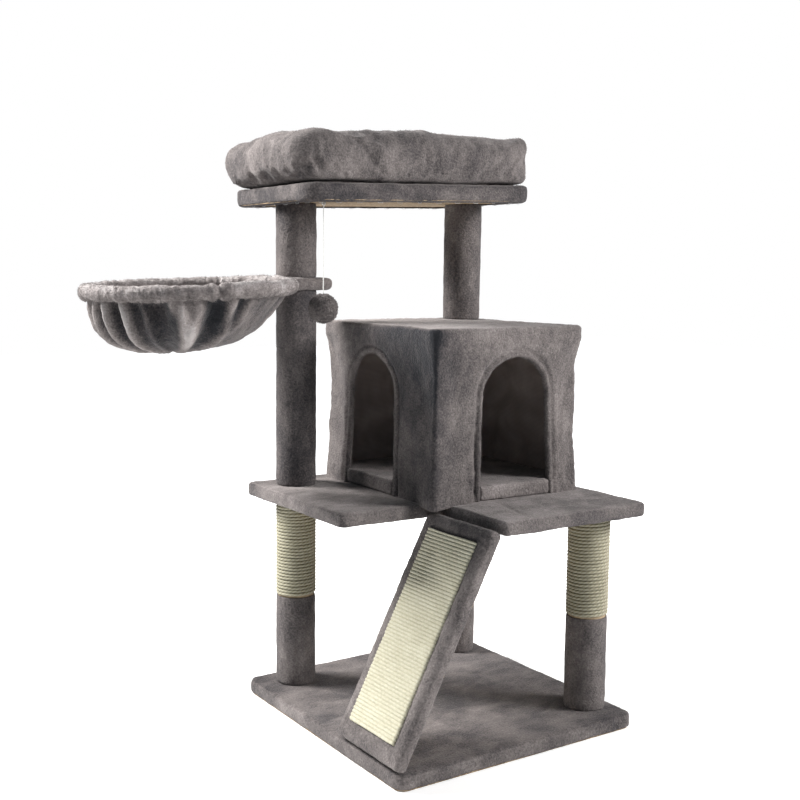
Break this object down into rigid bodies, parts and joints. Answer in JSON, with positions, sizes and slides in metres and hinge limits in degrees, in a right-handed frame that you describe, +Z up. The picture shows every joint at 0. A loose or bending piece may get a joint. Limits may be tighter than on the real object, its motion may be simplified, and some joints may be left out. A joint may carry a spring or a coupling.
{
  "type": "cat tree",
  "caption": "Plush-covered cat tree with scratching posts, a ramp, an enclosed condo, a hammock on a swivelling bracket, a padded top perch and a hanging ball.",
  "frame": {"origin": "middle of the base board's underside, on the floor", "axes": "+Z up; +X along the base's shorter front edge, away from the hammock's side; +Y from the ramp's side to the back"},
  "size_m": [0.8473, 0.6199, 1.0524],
  "materials": {
    "plush": "short-pile taupe-grey plush, brushed",
    "sisal": "twisted and woven pale sisal",
    "particle_board": "raw particle board",
    "cardboard": "spiral-wound paper tube",
    "plug": "moulded",
    "liner": "flat woven backing",
    "steel": "zinc plated",
    "cord": "thin white twisted cord"
  },
  "bodies": {
    "tree": {"base_board": "particle_board", "base_cover": "plush", "condo_floor_board": "particle_board", "condo_floor_cover": "plush", "condo_front_trim": "plush", "condo_left_trim": "plush", "condo_roof_board": "particle_board", "condo_roof_cover": "plush", "condo_wall_liner": "liner", "condo_wall_skin": "plush", "left_base_bolt": "steel", "left_lower_post_bottom_plug": "plug", "left_lower_post_plush_sleeve": "plush", "left_lower_post_sisal_wrap": "sisal", "left_lower_post_top_plug": "plug", "left_lower_post_tube": "cardboard", "left_middle_post_bottom_plug": "plug", "left_middle_post_plush_sleeve": "plush", "left_middle_post_top_plug": "plug", "left_middle_post_tube": "cardboard", "left_upper_post_bottom_plug": "plug", "left_upper_post_plush_sleeve": "plush", "left_upper_post_top_plug": "plug", "left_upper_post_tube": "cardboard", "perch_board": "particle_board", "perch_bolster": "plush", "perch_cover": "plush", "platform_board": "particle_board", "platform_cover": "plush", "ramp_board": "particle_board", "ramp_cover": "plush", "ramp_sisal_mat": "sisal", "ramp_strap_far": "steel", "ramp_strap_near": "steel", "rear_base_bolt": "steel", "rear_lower_post_bottom_plug": "plug", "rear_lower_post_plush_sleeve": "plush", "rear_lower_post_sisal_wrap": "sisal", "rear_lower_post_top_plug": "plug", "rear_lower_post_tube": "cardboard", "rear_upper_post_bottom_plug": "plug", "rear_upper_post_plush_sleeve": "plush", "rear_upper_post_top_plug": "plug", "rear_upper_post_tube": "cardboard", "right_base_bolt": "steel", "right_lower_post_bottom_plug": "plug", "right_lower_post_plush_sleeve": "plush", "right_lower_post_sisal_wrap": "sisal", "right_lower_post_top_plug": "plug", "right_lower_post_tube": "cardboard", "roof_bolt": "steel", "toy_staple": "steel"},
    "hammock": {"bracket_board": "particle_board", "bracket_cover": "plush", "hammock_hoop": "steel", "hammock_rim": "plush", "hammock_bowl": "plush"},
    "toy_link": {"toy_loop": "cord"},
    "toy": {"toy_cord": "cord", "toy_ball": "plush"}
  },
  "joints": [
    {"name": "hammock_swivel", "type": "hinge", "parent": "tree", "child": "hammock", "pos_m": [-0.1767, 0.2039, 0.7757], "axis": [0, 0, 1], "range_deg": [-100, 4]},
    {"name": "toy_swing_side", "type": "hinge", "parent": "tree", "child": "toy_link", "pos_m": [-0.192, 0.078, 0.915], "axis": [0, -1, 0], "range_deg": [-5, 40]},
    {"name": "toy_swing_front", "type": "hinge", "parent": "toy_link", "child": "toy", "pos_m": [-0.192, 0.078, 0.915], "axis": [1, 0, 0], "range_deg": [-40, 8]}
  ]
}
